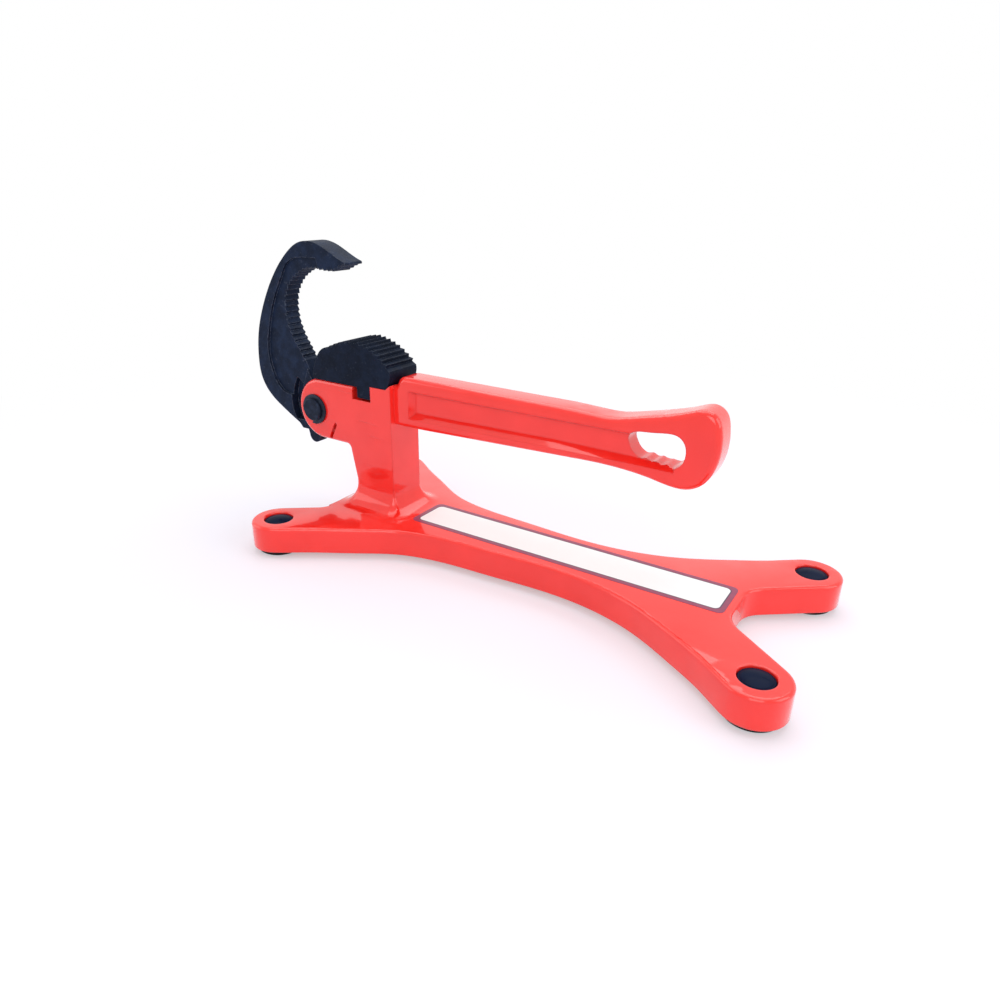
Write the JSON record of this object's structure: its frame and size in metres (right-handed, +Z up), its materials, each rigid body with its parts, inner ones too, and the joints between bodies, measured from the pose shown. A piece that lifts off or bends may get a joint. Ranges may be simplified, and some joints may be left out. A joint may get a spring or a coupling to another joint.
{
  "type": "pipe vise",
  "caption": "Bench or floor pipe vise: a four-legged cast base carries a self-gripping wrench head with a sprung toothed hook jaw over a toothed heel jaw and a long handle.",
  "frame": {"origin": "middle of the whole length and width, on the floor under the rubber feet", "axes": "+X from the jaws back along the handle, +Z up, +Y to the far side in the picture; the middle plane is Y = 0"},
  "size_m": [0.3069, 0.1246, 0.1473],
  "materials": {
    "red_paint": "gloss",
    "jaw_oxide": "satin",
    "heel_oxide": "satin",
    "pin_oxide": "satin",
    "ring_oxide": "satin",
    "spring_steel": "satin",
    "dowel_steel": "satin",
    "label_vinyl": "gloss",
    "pad_rubber": "matte",
    "plug_plastic": "gloss"
  },
  "bodies": {
    "frame": {"frame_casting": "red_paint", "heel_jaw": "heel_oxide", "pivot_pin": "pin_oxide", "retaining_ring_near": "ring_oxide", "retaining_ring_far": "ring_oxide", "return_spring": "spring_steel", "heel_pin": "dowel_steel", "label": "label_vinyl", "foot_pad_front_near": "pad_rubber", "hole_plug_front_near": "plug_plastic", "foot_pad_front_far": "pad_rubber", "hole_plug_front_far": "plug_plastic", "foot_pad_rear_near": "pad_rubber", "hole_plug_rear_near": "plug_plastic", "foot_pad_rear_far": "pad_rubber", "hole_plug_rear_far": "plug_plastic"},
    "hook": {"hook_jaw": "jaw_oxide"}
  },
  "joints": [
    {"name": "hook_swing", "type": "hinge", "parent": "frame", "child": "hook", "pos_m": [-0.1076, 0, 0.0635], "axis": [0, -1, 0], "range_deg": [-14, 40], "stiffness_Nm_per_rad": 0.35, "springref_deg": -9.74}
  ]
}
